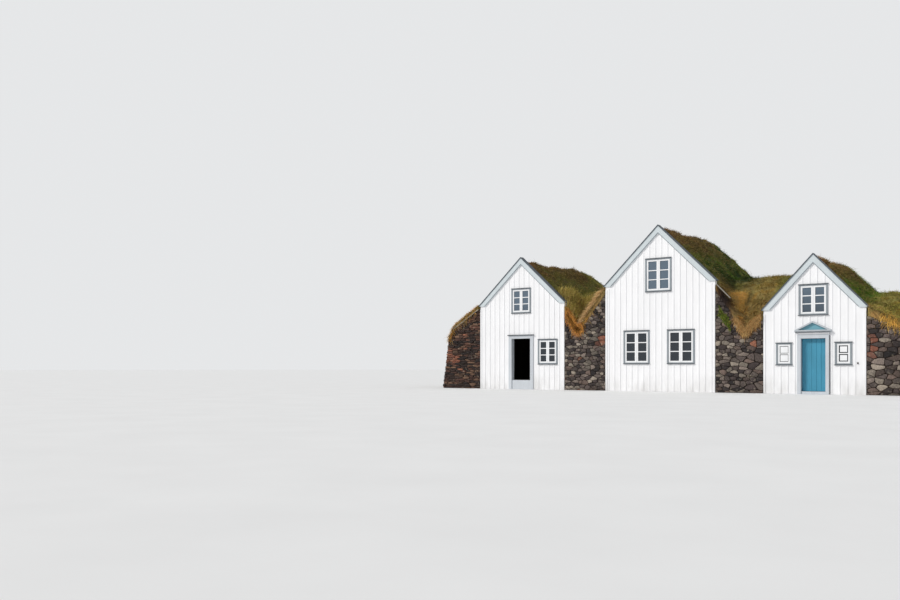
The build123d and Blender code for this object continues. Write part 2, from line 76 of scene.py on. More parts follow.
# Light: a soft key from the left in front, and an even surround
sun_elevation_degrees = 36
sun_azimuth_degrees = 43
sun_settings = {"energy": 2.2, "angle": radians(8), "color": (1.0, 0.97, 0.92)}
surround_strength = 0.55
surround_colour = (0.93, 0.96, 1.0, 1)
background_colour = (0.79, 0.80, 0.81, 1)
floor_radius = 260
floor_drop = 0.002
floor_greys = (0.79, 0.82)

# Timber fronts
seat = 0.002
batten_spacing = 0.24
batten_width = 0.045
batten_depth = 0.014
batten_lap = 0.02
shortest_batten = 0.05
corner_board_width = 0.07
corner_board_depth = 0.019
corner_board_lap = 0.03
bargeboard_width = 0.2
bargeboard_depth = 0.045
# Width of the strip of painted shadow under each bargeboard
barge_shadow_width = 0.022
board_chamfer = 0.003
small_chamfer = 0.0015

# Windows
casing_width = 0.06
casing_depth = 0.028
casing_seat = 0.003
cap_height = 0.024
cap_depth = 0.05
ear_reach = 0.018
sash_width = 0.062
sash_front = 0.009
sash_back = 0.045
glass_front = 0.0165
glass_lap = 0.002
bar_width = 0.034
# Widths of the dark rim of painted shade left round each white panel
panel_shade_rims = (0.02, 0.034)
panel_back = 0.016
panel_front = 0.012

# Doors and ironwork
cornice_height = 0.086
pediment_rise = 0.299
leaf_thickness = 0.045
door_board_count = 5
door_board_depth = 0.014
door_margins = (0.005, 0.02)
hook_place = (7.416, 1.05)

# Walls of stone
joint_width = 0.0112
stone_depth = 0.11
stone_rings = ((0.94, -stone_depth), (1.0, -0.03), (0.95, -0.006), (0.6, 0.002))
stone_corner_cut = (0.08, 0.17)
stone_sink = 0.034
stone_tilt = 0.16
stone_wobble = 0.07
stone_roughness = 0.004
stone_spread = (0.45, 1.5)
red_spot_share = 0.8
core_inset = 0.05
core_back = 1.6
front_proud = 0.03
side_proud = -0.008
hem_height = 1.88
back_lean = 0.125
smallest_stone = 0.035
stone_gap = 0.004
end_signs = {"left": -1, "right": 1}
missing_share = 0.2
coarse_missing_share = 0.5

# Turf and grass
turf_step = 0.08
turf_sink = 0.03
turf_margin = 0.004
roof_clearance = 0.012
hem_fold = 0.14
lump_height = 0.045
small_lump_height = 0.022
tussocks_per_house = 5000
blades_per_tussock = 12
tussock_spread = 0.045
blade_width = 0.008
blade_spread = (0.7, 1.3)
dry_blade_share = 0.16
stalk_share = 0.025
fringe_per_metre = 260
gable_clearance = 0.03

# Loose boards: the two ends, as across and up, and the thickness
loose_planks = (((-9.02, 2.6), (-7.71, 3.4), 0.03), ((2.68, 3.93), (3.19, 3.4), 0.022))


def linear(red, green, blue):
    """A display colour of 0 to 255, as the linear values that shaders take."""
    values = np.array([red, green, blue]) / 255
    return np.where(values <= 0.04045, values / 12.92, ((values + 0.055) / 1.055) ** 2.4)


def smoothstep(low, high, value):
    share = np.clip((value - low) / (high - low), 0, 1)
    return share * share * (3 - 2 * share)


def rgba(colour):
    return (*(float(c) for c in colour), 1.0)


def grey(level):
    return rgba([level] * 3)


# Materials
def fill_inputs(tree, node, inputs):
    """Links the inputs of a shader node that are sockets and sets the others."""
    for key, value in inputs.items():
        if isinstance(value, bpy.types.NodeSocket):
            tree.links.new(value, node.inputs[key])
        else:
            node.inputs[key].default_value = value


def add_node(tree, kind, inputs, output=0, **settings):
    made = tree.nodes.new("ShaderNode" + kind)
    for name, value in settings.items():
        setattr(made, name, value)
    fill_inputs(tree, made, inputs)
    return made.outputs[output]


class Shader:
    """One material, built node by node."""

    def __init__(self, name, surface):
        self.material = bpy.data.materials.new(name)
        self.material.use_nodes = True
        self.tree = self.material.node_tree
        self.place = self.node("TexCoord", {}, "Object")
        self.set_surface(surface)

    def set_surface(self, inputs):
        fill_inputs(self.tree, self.tree.nodes["Principled BSDF"], inputs)

    def node(self, kind, inputs, output=0, **settings):
        return add_node(self.tree, kind, inputs, output, **settings)

    def noise(self, scale, stretch=(1, 1, 1), detail=4):
        stretched = self.node("Mapping", {"Vector": self.place, "Scale": stretch})
        return self.node("TexNoise", {"Vector": stretched, "Scale": scale, "Detail": detail})

    def ramp(self, value, low, high, to_low=0.0, to_high=1.0):
        inputs = {"Value": value, "From Min": low, "From Max": high, "To Min": to_low, "To Max": to_high}
        return self.node("MapRange", inputs)

    def mix(self, share, first, second, blend="MIX"):
        inputs = {0: share, 6: first, 7: second}
        return self.node("Mix", inputs, output=2, data_type="RGBA", blend_type=blend)

    def tinted(self, share, darkest, lightest):
        """The tint stored in the mesh, varied between two levels."""
        tint = self.node("Attribute", {}, attribute_name="tint")
        return self.mix(1.0, tint, self.mix(share, grey(darkest), grey(lightest)), "MULTIPLY")

    def height(self):
        return self.node("SeparateXYZ", {"Vector": self.place}, output=2)

    def finish(self, colour, bump, strength, distance=0.01):
        normal = self.node("Bump", {"Height": bump, "Strength": strength, "Distance": distance})
        self.set_surface({"Base Color": colour, "Normal": normal})
        return self.material


def painted_wood(name, colour, stretch=(1, 1, 0.06), worn=0.12, soiled=0.0, roughness=0.5):
    """Painted boards: fine grain along the board, faint patches, and soiling near the ground."""
    shader = Shader(name, {"Roughness": roughness})
    grain = shader.noise(60, stretch, 6)
    patches = shader.noise(3.5, (1, 1, 0.35), 5)
    base = shader.mix(shader.ramp(patches, 0.35, 0.7), rgba(colour), rgba(colour * (1 - worn)))
    base = shader.mix(shader.ramp(grain, 0.5, 0.8, 0, 0.5), base, rgba(colour * (1 - 1.6 * worn)))
    if soiled:
        near_ground = shader.ramp(shader.height(), 0.05, 0.7, 1, 0)
        uneven = shader.ramp(patches, 0.3, 0.7)
        splash = shader.node("Math", {0: near_ground, 1: uneven}, operation="MULTIPLY")
        base = shader.mix(shader.ramp(splash, 0, 1, 0, soiled), base, rgba(linear(128, 124, 108)))
    shader.set_surface({"Roughness": shader.ramp(grain, 0.3, 0.8, roughness - 0.08, roughness + 0.15)})
    return shader.finish(base, grain, 0.25, 0.002)


def mottled(name, roughness, grain, dark, pale, strength, distance, low=0.3, metallic=0.0):
    """A rough material between two colours; grain is the scale, stretch and detail of its noise."""
    shader = Shader(name, {"Roughness": roughness, "Metallic": metallic})
    spots = shader.noise(*grain)
    base = shader.mix(shader.ramp(spots, low, 0.7), rgba(dark), rgba(pale))
    return shader.finish(base, spots, strength, distance)


def bare_wood(name, colour, stretch):
    return mottled(name, 0.8, (18, stretch, 8), colour * 0.6, colour * 1.25, 0.5, 0.004)


def window_glass():
    """Old glass with painted light: painted shade of the dark rooms below, and a painted sky reflection that
    grows paler with height.
    """
    shader = Shader("window_glass", {"Roughness": 0.05, "IOR": 1.5, "Transmission Weight": 0.25})
    # Painted shade low down, painted sky reflection higher up, mixed by height
    share = shader.ramp(shader.height(), 2.2, 3.6)
    base = shader.mix(share, rgba(linear(46, 54, 62)), rgba(linear(104, 122, 138)))
    return shader.finish(base, shader.noise(3, detail=2), 0.08)


def stone():
    """Dry basalt: each stone has its own tint, with mottling, lichen and a rough face."""
    shader = Shader("dry_stone", {"Roughness": 0.9})
    mottle = shader.noise(22, (1, 1, 1.4), 8)
    base = shader.tinted(shader.ramp(mottle, 0.3, 0.72), 0.55, 1.5)
    lichen = shader.ramp(shader.noise(9, detail=7), 0.6, 0.7, 0, 0.55)
    base = shader.mix(lichen, base, rgba(linear(150, 140, 122)))
    return shader.finish(base, shader.noise(45, detail=8), 0.7, 0.012)


# Earth of the wall cores: its own dark brown, made darker still as painted shade in the joints between the
# stones
def earth_and_joint_shade():
    return mottled("earth_and_joint_shade", 1.0, (14, (1, 1, 2.2), 8), linear(20, 15, 13), linear(64, 49, 37), 0.9, 0.03)


def tinted_turf(name, spread, bump):
    shader = Shader(name, {"Roughness": 0.95, "Specular IOR Level": 0.2})
    fine = shader.noise(30, (1, 1, 0.6), 6)
    base = shader.tinted(shader.ramp(fine, 0.3, 0.7), 1 - spread, 1 + spread)
    return shader.finish(base, fine, bump, 0.03)


def iron():
    grain = (40, (1, 1, 1), 6)
    return mottled("dark_iron", 0.5, grain, linear(38, 38, 40), linear(74, 56, 46), 0.3, 0.002, 0.4, 0.4)


along_x = (0.06, 1, 1)
white = painted_wood("white_boards", linear(245, 245, 247), worn=0.05, soiled=0.3)
slot_materials = {
    "white_boards": white,
    "pale_trim": painted_wood("pale_trim", linear(206, 215, 219), (0.5, 1, 0.5), 0.08),
    "dark_cap": painted_wood("dark_cap", linear(84, 92, 100), (0.5, 0.5, 0.5), 0.3, roughness=0.65),
    "inner_boards": bare_wood("inner_boards", linear(62, 46, 34), (5, 0.5, 5)),
    "window_paint": painted_wood("window_white", linear(243, 244, 246), worn=0.06),
    "window_glass": window_glass(),
    "door_trim": painted_wood("door_trim", linear(202, 207, 213), worn=0.1),
    "cornice_paint": painted_wood("cornice_paint", linear(186, 192, 198), along_x, 0.12),
    "tympanum_paint": painted_wood("tympanum_paint", linear(110, 166, 182), along_x, 0.1),
    "door_paint": painted_wood("door_paint", linear(62, 146, 176), worn=0.2),
    "dry_stone": earth_and_joint_shade(),
    "turf": earth_and_joint_shade(),
}
casing_paint = painted_wood("casing_paint", linear(142, 150, 156), worn=0.15)
line_paint = painted_wood("line_paint", linear(82, 88, 94), along_x, 0.2)
stone_material = stone()
turf_material = tinted_turf("turf", 0.35, 0.8)
grass_material = tinted_turf("grass_blades", 0.12, 0.0)
weathered = bare_wood("weathered_board", linear(158, 152, 142), (0.4, 3, 3))
iron_material = iron()


# Shapes
def add_object(name, data, settings=()):
    """Links an object to the scene and sets values of its data."""
    made = bpy.data.objects.new(name, data)
    bpy.context.scene.collection.objects.link(made)
    for key in settings:
        setattr(data, key, settings[key])
    return made


def make_piece(name, points, faces, material, body=row, replaces=(), smooth=False):
    """A mesh that rides on a body."""
    mesh = bpy.data.meshes.new(name)
    mesh.from_pydata(points, [], faces, shade_flat=not smooth)
    mesh.materials.append(material)
    piece = add_object(name, mesh)
    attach(piece, body)
    if replaces:
        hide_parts(*replaces)
    return piece


def set_tint(piece, colours):
    """Stores one linear colour for each vertex."""
    values = np.ones((len(colours), 4), np.float32)
    values[:, :3] = colours
    tint = piece.data.color_attributes.new("tint", "FLOAT_COLOR", "POINT")
    tint.data.foreach_set("color", values.ravel())


def unit_board():
    """Corners and faces of a cube from -1 to 1 whose edges are cut off at 0.9."""
    cube = bmesh.new()
    bmesh.ops.create_cube(cube, size=2)
    bmesh.ops.bevel(cube, geom=cube.edges[:], offset=0.1, segments=1, affect="EDGES")
    cube.verts.index_update()
    corners = np.array([v.co for v in cube.verts])
    faces = [[v.index for v in f.verts] for f in cube.faces]
    cube.free()
    return corners, faces


board_corners, board_faces = unit_board()
board_is_face = np.abs(board_corners) > 0.95


class Boards:
    """Chamfered boards gathered into one piece."""

    def __init__(self, chamfer=board_chamfer):
        self.chamfer = chamfer
        self.points = []
        self.faces = []

    def add(self, xs, ys, zs, lean=0.0):
        """A board between limits along each axis, then leaned about Y round its middle."""
        low, high = np.array([xs, ys, zs], float).T
        half = (high - low) / 2
        cut = min(self.chamfer, 0.4 * half.min())
        x, y, z = (np.sign(board_corners) * np.where(board_is_face, half, half - cut)).T
        leaned = np.column_stack([x * cos(lean) + z * sin(lean), y, z * cos(lean) - x * sin(lean)])
        base = len(self.points) * len(board_corners)
        self.points.append(leaned + (low + high) / 2)
        self.faces += [[base + i for i in face] for face in board_faces]

    def make(self, name, material, slot, body=row, replaces=()):
        make_piece(name, np.vstack(self.points), self.faces, material, body, replaces)


def make_boards(name, limits, material, slot, chamfer=small_chamfer):
    boards = Boards(chamfer)
    for xs, ys, zs in limits:
        boards.add(xs, ys, zs)
    boards.make(name, material, slot)


def cad_mesh(name):
    """The corners and faces of a CAD node."""
    mesh = nodes[name].data
    return np.array([v.co for v in mesh.vertices]), [list(p.vertices) for p in mesh.polygons]


def search_tree(names):
    """A tree over the faces of several CAD nodes, to find heights on them."""
    points, faces = [], []
    for name in names:
        base = len(points)
        corners, polygons = cad_mesh(name)
        points += corners.tolist()
        faces += [[base + i for i in polygon] for polygon in polygons]
    return BVHTree.FromPolygons(points, faces)


def height_on(tree, x, y, missing=hem_height):
    hit = tree.ray_cast(Vector((x, y, cad_high.z + 1)), Vector((0, 0, -1)))[0]
    return hit.z if hit else missing


def separate_boxes(name):
    """Boxes round the parts of a CAD node that don't touch one another, from left to right."""
    points, polygons = cad_mesh(name)
    touching = 0.001
    boxes = []
    for polygon in polygons:
        corners = points[polygon]
        low, high = corners.min(0), corners.max(0)
        apart = []
        for other_low, other_high in boxes:
            if (low > other_high + touching).any() or (high < other_low - touching).any():
                apart.append((other_low, other_high))
            else:
                low, high = np.minimum(low, other_low), np.maximum(high, other_high)
        boxes = apart + [(low, high)]
    return sorted(boxes, key=lambda box: (round(box[0][2], 1), box[0][0]))


def read_house(side):
    """Places of one house's front, read from its bargeboards and side panels."""
    barge_low, barge_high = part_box(f"{side}_bargeboards")
    panel_low, panel_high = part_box(f"{side}_side_panels")
    reach = (barge_high.x - barge_low.x) / 2
    return SimpleNamespace(
        side=side,
        center=(panel_low.x + panel_high.x) / 2,
        half=(panel_high.x - panel_low.x) / 2,
        reach=reach,
        apex=barge_high.z,
        slope=(barge_high.z - barge_low.z) / reach,
        windows=separate_boxes(f"{side}_window_frames"),
        panes=separate_boxes(f"{side}_window_glass"),
    )


houses = [read_house(side) for side in sides]
left_house, middle_house, right_house = houses
gable_low, gable_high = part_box("middle_gable")
front_y, inner_y = gable_low.y, gable_high.y
back_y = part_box("left_end_wall")[1].y
back_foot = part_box("middle_back_wall")[1].y
valleys = (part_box("left_turf_east")[1].x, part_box("middle_turf_east")[1].x)
door_low, door_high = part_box("right_door")
left_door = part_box("left_door_frame")
right_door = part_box("right_door_frame")
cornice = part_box("door_cornice")
turf_tree = search_tree([f"{side}_turf_{part}" for side in sides for part in ("west", "east")])
front_walls = ["left_end_wall", "left_cross_wall", "right_cross_wall", "right_end_wall"]


# Finish of the CAD pieces that stay
def dress_nodes():
    for part in frame["record"]["subparts"]:
        node = nodes[part["node"]]
        node.data.materials.clear()
        node.data.materials.append(slot_materials[part["material_slot"]])
    soft_edges = [f"{side}_{name}" for side in sides for name in ("bargeboards", "verge_cap")]
    for name in soft_edges + ["left_door_frame", "right_door_frame", "door_cornice", "right_door"]:
        weld = nodes[name].modifiers.new("Weld", "WELD")
        weld.merge_threshold = 0.0002
        bevel = nodes[name].modifiers.new("Bevel", "BEVEL")
        bevel.width = board_chamfer
        bevel.segments = 2


# Timber fronts
def covered(house, x):
    """Stretches of height at x that windows, doors and their trim cover."""

    def crossed(low, high):
        return low - batten_width / 2 < x < high + batten_width / 2

    stretches = [(low[2], high[2]) for low, high in house.windows if crossed(low[0], high[0])]
    stretches += [(-1, high.z) for low, high in (left_door, right_door) if crossed(low.x, high.x)]
    low, high = cornice
    if crossed(low.x, high.x):
        share = max(0, 1 - abs(x - right_house.center) / ((high.x - low.x) / 2))
        bed = right_door[1].z
        stretches.append((bed, bed + cornice_height + pediment_rise * share))
    return sorted(stretches)


def battens(house):
    """Upright battens over the board joints and boards at the corners, from the ground to the bargeboards."""
    boards = Boards()
    reach = house.half - corner_board_width
    count = int(reach / batten_spacing)
    places = [house.center + (k + 0.5) * batten_spacing for k in range(-count - 1, count + 1)]
    under = house.apex - bargeboard_width * hypot(1, house.slope)
    half, ys = batten_width / 2, (front_y - batten_depth, front_y + seat)
    for x in places:
        offset = abs(x - house.center)
        if offset >= reach - batten_width:
            continue
        top = under - house.slope * offset + batten_lap
        bottom = 0.0
        for low, high in covered(house, x) + [(top, top)]:
            if low - bottom > shortest_batten:
                boards.add((x - half, x + half), ys, (bottom, min(low, top)))
            bottom = max(bottom, high)
    half, ys = corner_board_width / 2, (front_y - corner_board_depth, front_y + seat)
    top = under - house.slope * reach + corner_board_lap
    for sign in (-1, 1):
        x = house.center + sign * (house.half - half)
        boards.add((x - half, x + half), ys, (0, top))
    boards.make(f"{house.side}_battens", white, "white_boards")


def barge_shadow_lines(house):
    """A thin grey strip along the lower edge of each bargeboard, as painted shadow: the shade the board casts
    on the wall.
    """
    strips = Boards(small_chamfer)
    pitch = atan(house.slope)
    end = house.reach - bargeboard_width / sin(pitch)
    drop = (bargeboard_width - barge_shadow_width / 2) / cos(pitch)
    half_length, half_width = end / cos(pitch) / 2, barge_shadow_width / 2
    face = front_y - bargeboard_depth
    ys = (face - 0.008, face + 0.01)
    z = house.apex - drop - house.slope * end / 2
    for sign in (-1, 1):
        x = house.center + sign * end / 2
        strips.add((x - half_length, x + half_length), ys, (z - half_width, z + half_width), sign * pitch)
    strips.make(f"{house.side}_barge_shadow_lines", casing_paint, "pale_trim")


def window_joinery(house):
    """Casings, caps, sashes and glazing bars in place of the plain window frames."""
    casings, lines, sashes = Boards(), Boards(small_chamfer), Boards(small_chamfer)
    back = front_y + casing_seat
    ys = (front_y - casing_depth, back)
    for low, high in house.windows:
        ears = ear_reach if house is right_house else 0
        x0, x1, z0, z1 = low[0] + ears, high[0] - ears, low[2], high[2]
        for x in (x0, x1 - casing_width):
            casings.add((x, x + casing_width), ys, (z0 + cap_height, z1 - cap_height))
        for z in (z0 + cap_height, z1 - casing_width):
            casings.add((x0 + casing_width, x1 - casing_width), ys, (z, z + casing_width - cap_height))
        for z in (z0, z1 - cap_height):
            lines.add((low[0], high[0]), (front_y - cap_depth, back), (z, z + cap_height))
        panes = [p for p in house.panes if x0 < p[0][0] < x1 and z0 < p[0][2] < z1]
        for pane in panes:
            sash(sashes, pane, z0 + casing_width, z1 - casing_width, 3 if len(panes) == 2 else 2)
    replaced = [f"{house.side}_window_frames"]
    casings.make(f"{house.side}_window_casings", casing_paint, "window_paint", replaces=replaced)
    lines.make(f"{house.side}_window_caps", line_paint, "window_paint")
    sashes.make(f"{house.side}_sashes", slot_materials["window_paint"], "window_paint")


def sash(boards, pane, bottom, top, rows):
    """One casement round a pane of glass, with bars between its rows of lights."""
    low, high = pane
    face, back = front_y - sash_front, front_y + sash_back
    for x in (low[0] - sash_width, high[0]):
        boards.add((x, x + sash_width), (face, back), (bottom, top))
    xs = (low[0] - glass_lap, high[0] + glass_lap)
    for zs in ((bottom, low[2]), (high[2], top)):
        boards.add(xs, (face + 0.002, back), zs)
    ys = (face + 0.004, front_y + glass_front + 0.001)
    for k in range(1, rows):
        z = low[2] + (high[2] - low[2]) * k / rows
        boards.add(xs, ys, (z - bar_width / 2, z + bar_width / 2))


def blinds():
    """White panels behind the two small windows, each smaller than its pane, so that a dark rim of painted
    shade shows round it.
    """
    small = [p for p in right_house.panes if abs((p[0][0] + p[1][0]) / 2 - right_house.center) > 0.6]
    ys = (front_y + panel_front, front_y + panel_back)
    limits = []
    for (low, high), rim in zip(small, panel_shade_rims):
        middle = (low[2] + high[2]) / 2
        for z0, z1 in ((low[2], middle - bar_width / 2), (middle + bar_width / 2, high[2])):
            limits.append(((low[0] + rim, high[0] - rim), ys, (z0 + rim, z1 - rim)))
    make_boards("window_panels", limits, slot_materials["window_paint"], "window_paint")


def door_pieces():
    """Boards of the blue door, the cap over the left doorway, white lines and strips of painted shadow round
    the right one, and the hook.
    """
    boards = Boards()
    margin, gap = 0.004, 0.002
    width = (door_high.x - door_low.x - sum(door_margins)) / door_board_count
    face = inner_y - leaf_thickness
    ys, zs = (face - door_board_depth, face + seat), (door_low.z + margin, door_high.z - margin)
    for k in range(door_board_count):
        x = door_low.x + door_margins[0] + k * width
        boards.add((x + gap, x + width - gap), ys, zs)
    boards.make("door_boards", slot_materials["door_paint"], "door_paint", leaf)

    low, high = left_door
    xs, zs = (low.x - 0.035, high.x + 0.035), (high.z - 0.004, high.z + 0.03)
    make_boards("left_door_cap", [(xs, (front_y - 0.075, front_y + seat), zs)], line_paint, "door_trim")

    low, high = cornice
    jamb_low, jamb_high = right_door
    face, bed, back = jamb_low.y, jamb_high.z, low.y + 0.03
    make_boards("cornice_line", [
        ((low.x + 0.004, high.x - 0.004), (low.y + 0.001, back), (bed + 0.06, bed + 0.085)),
        ((jamb_low.x + 0.002, jamb_high.x - 0.002), (face - 0.006, face + 0.004), (bed - 0.062, bed - 0.003)),
    ], white, "cornice_paint")
    # Painted shadow: dark strips under the cornice and along the right jamb's outer edge
    make_boards("door_shadow_lines", [
        ((low.x + 0.02, high.x - 0.02), (low.y + 0.008, back), (bed - 0.004, bed + 0.012)),
        ((jamb_high.x - 0.006, jamb_high.x + 0.012), (front_y - 0.045, front_y + seat), (0.01, bed - 0.1)),
    ], line_paint, "door_trim")

    x, z = hook_place
    make_boards("wall_hook", [
        ((x - 0.016, x + 0.016), (front_y - 0.05, front_y - 0.006), (z - 0.015, z + 0.017)),
        ((x - 0.021, x + 0.021), (front_y - 0.012, front_y + seat), (z - 0.03, z + 0.03)),
    ], iron_material, "door_paint", 0.008)


# Stone walls
def rounded(polygon, cut):
    """Cuts each corner of a polygon at a share of its sides."""
    side = np.roll(polygon, -1, axis=0) - polygon
    return np.stack([polygon + side * cut, polygon + side * (1 - cut)], 1).reshape(-1, 2)


def clipped(polygon, point, outward):
    """The part of a polygon on the inner side of a line."""
    inside = (polygon - point) @ outward
    kept = []
    for k in range(len(polygon)):
        a, b, da, db = polygon[k - 1], polygon[k], inside[k - 1], inside[k]
        if (da <= 0) != (db <= 0):
            kept.append(a + (b - a) * da / (da - db))
        if db <= 0:
            kept.append(b)
    return np.array(kept).reshape(-1, 2)


def rubble(area, size, jitter, rng, coarse=None):
    """Irregular stones that fill a rectangle: the nearest-seed cells of a loosened bond.

    Some seeds are left out, so that sizes vary, and more of them right of and below the point coarse.
    """
    u0, u1, v0, v1 = area
    start, scale = np.array([u0, v0]), np.array(size)
    across, up = (int(span / step) + 3 for span, step in zip((u1 - u0, v1 - v0), size))
    seeds = np.array([(i + 0.5 * (j % 2), j) for j in range(-1, up) for i in range(-1, across)], float)
    seeds += rng.uniform(-jitter, jitter, seeds.shape)
    missing = np.full(len(seeds), missing_share)
    if coarse is not None:
        places = start + seeds * scale
        missing[(places[:, 0] > coarse[0]) & (places[:, 1] < coarse[1])] = coarse_missing_share
    seeds = seeds[rng.random(len(seeds)) > missing]
    frame_edges = (((u0, v0), (-1, 0)), ((u1, v0), (1, 0)), ((u0, v0), (0, -1)), ((u0, v1), (0, 1)))
    widest, tallest, neighbours = 2, 1.6, 4
    stones = []
    for seed in seeds:
        cell = seed + np.array([(-1, -1), (1, -1), (1, 1), (-1, 1)]) * (widest, tallest)
        away = seeds - seed
        for offset in away[(np.abs(away) < neighbours).all(1) & (np.abs(away).sum(1) > 0)]:
            cell = clipped(cell, seed + offset / 2, offset)
        cell = start + cell * scale
        for point, outward in frame_edges:
            cell = clipped(cell, point, outward)
        if len(cell) > 2:
            stones.append(cell)
    return stones


def stone_faces(count, rings):
    """Faces of one stone: rings of points, then a middle point."""
    faces = []
    for ring in range(rings - 1):
        for k in range(count):
            a, b = ring * count + k, ring * count + (k + 1) % count
            faces.append((a, b, b + count, a + count))
    last = (rings - 1) * count
    return faces + [(last + k, last + (k + 1) % count, rings * count) for k in range(count)]


def lay_stones(name, stones, place, tone, proud, rng):
    """Domed and tilted stones from flat outlines; place maps across, up and outward to the model."""
    points, faces, tints = [], [], []
    total = 0
    furthest, crown = proud + 0.006, 0.008
    for outline in stones:
        if len(outline) < 3:
            continue
        size = outline.max(0) - outline.min(0)
        if size.min() < smallest_stone:
            continue
        outline = rounded(outline, rng.uniform(*stone_corner_cut))
        middle = outline.mean(0)
        outline = middle + (outline - middle) * (1 - joint_width / size)
        out = proud + rng.uniform(-stone_sink, 0.0)
        tilt = rng.uniform(-stone_tilt, stone_tilt, 2)
        outline = outline + (outline - middle) * rng.uniform(-stone_wobble, 0.0, (len(outline), 1))
        for share, lift in stone_rings:
            flat = middle + (outline - middle) * share
            outward = np.full(len(flat), out + lift)
            if lift > -stone_depth:
                rough = rng.uniform(-stone_roughness, stone_roughness, len(flat))
                outward += rough + (flat - middle) @ tilt * share
            points.append(place(flat[:, 0], flat[:, 1], np.minimum(outward, furthest)))
        points.append(place(middle[:1], middle[1:], np.array([min(out + crown, furthest)])))
        count = len(outline)
        faces += [[total + i for i in face] for face in stone_faces(count, len(stone_rings))]
        added = count * len(stone_rings) + 1
        total += added
        tints.append(np.tile(tone(middle[0], middle[1], rng), (added, 1)))
    piece = make_piece(name, np.vstack(points), faces, stone_material)
    set_tint(piece, np.vstack(tints))


basalt = [linear(*c) for c in (
    (60, 51, 49), (80, 70, 66), (106, 95, 88), (43, 37, 36), (90, 76, 69), (130, 120, 109),
)]
red_stones = [linear(*c) for c in ((116, 72, 56), (130, 84, 64), (102, 68, 56))]
brown_stones = [linear(*c) for c in ((64, 42, 34), (46, 33, 28), (80, 54, 42), (38, 28, 25), (98, 74, 58))]


def tone_of(mainly, red_share, spots=()):
    """Picks a stone's colour: mostly from one list, with red stones scattered and at given spots."""

    def tone(u, v, rng):
        near = any(abs(u - x) < r and abs(v - z) < r for x, z, r in spots)
        chosen = red_stones if rng.random() < (red_spot_share if near else red_share) else mainly
        return chosen[rng.integers(len(chosen))] * rng.uniform(*stone_spread)

    return tone


def end_outline(side):
    """The front outline of an end wall, as across and up, from its outer foot to where it meets the gable."""
    corners, _ = cad_mesh(f"{side}_end_wall")
    outline = {(round(x, 4), round(z, 4)) for x, y, z in corners if y < front_y + 0.01}
    foot, *rest = sorted(outline, key=lambda p: -abs(p[0]))
    return [foot] + [p for p in rest if p[1] > 0]


def end_lean(side):
    foot, corner = end_outline(side)[:2]
    return abs(foot[0] - corner[0]) / corner[1]


def front_place(u, v, out):
    return np.column_stack([u, np.full_like(u, front_y) - out, v])


def back_place(u, v, out):
    return np.column_stack([u, back_foot - back_lean * v + out, v])


def end_place(side):
    """Places stones on a leaning end wall."""
    sign, foot, lean = end_signs[side], end_outline(side)[0][0], end_lean(side)

    def place(u, v, out):
        return np.column_stack([foot + sign * (out - v * lean), u, v])

    return place


def under_wall_top(name):
    """Cuts outlines to the height of a wall between two houses."""
    low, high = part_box(name)
    tree = search_tree([name])
    inset, step, gap = 0.03, 0.02, 0.01

    def cut(outline):
        x = min(max(outline.mean(0)[0], low.x + inset), high.x - inset)
        west, top, east = (height_on(tree, x + d, front_y + 0.01, 0) for d in (-step, 0, step))
        return clipped(outline, (x, top - gap), ((west - east) / (2 * step), 1.0))

    return cut


def within_end(side):
    """Cuts outlines to the front outline of an end wall."""
    corners = [np.array(p) for p in end_outline(side)]
    gap = 0.008

    def cut(outline):
        for start, end in zip(corners, corners[1:]):
            outward = end_signs[side] * np.array([end[1] - start[1], start[0] - end[0]])
            outward /= np.linalg.norm(outward)
            if len(outline) > 2:
                outline = clipped(outline, start - outward * gap, outward)
        return outline

    return cut


def wall_front(name, size, jitter, cut, tone, seed, coarse=None):
    """Stones on the front of one wall, cut to its outline."""
    rng = np.random.default_rng(seed)
    low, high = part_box(name)
    area = (low.x + stone_gap, high.x - stone_gap, seat, high.z)
    stones = [cut(outline) for outline in rubble(area, size, jitter, rng, coarse)]
    lay_stones(f"{name}_stones", stones, front_place, tone, front_proud, rng)


def wall_side(name, place, across, top, leans, tone, seed):
    """Stones on an end wall or the back, up to the turf, between edges that lean inward."""
    rng = np.random.default_rng(seed)
    size, jitter = (0.3, 0.145), 0.28
    stones = []
    for outline in rubble((*across, seat, top), size, jitter, rng):
        for edge, sign, lean in zip(across, (-1, 1), leans):
            if len(outline) > 2:
                outline = clipped(outline, (edge, 0), (sign, lean))
        stones.append(outline)
    lay_stones(name, stones, place, tone, side_proud, rng)


def wall_core(name):
    """The earth inside a wall: the CAD wall with its open faces moved in behind the stones."""
    low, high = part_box(name)
    points, faces = cad_mesh(name)
    points[points[:, 1] > high.y - core_back, 1] -= core_inset
    if low.y < front_y + 0.01:
        points[np.abs(points[:, 1] - front_y) < 0.001, 1] += core_inset / 2
    for side, house in (("left", left_house), ("right", right_house)):
        if name == f"{side}_end_wall":
            outer = end_signs[side] * (points[:, 0] - house.center) > house.half + 0.1
            points[outer, 0] -= end_signs[side] * core_inset
    make_piece(f"{name}_core", points, faces, slot_materials["dry_stone"], replaces=[name])


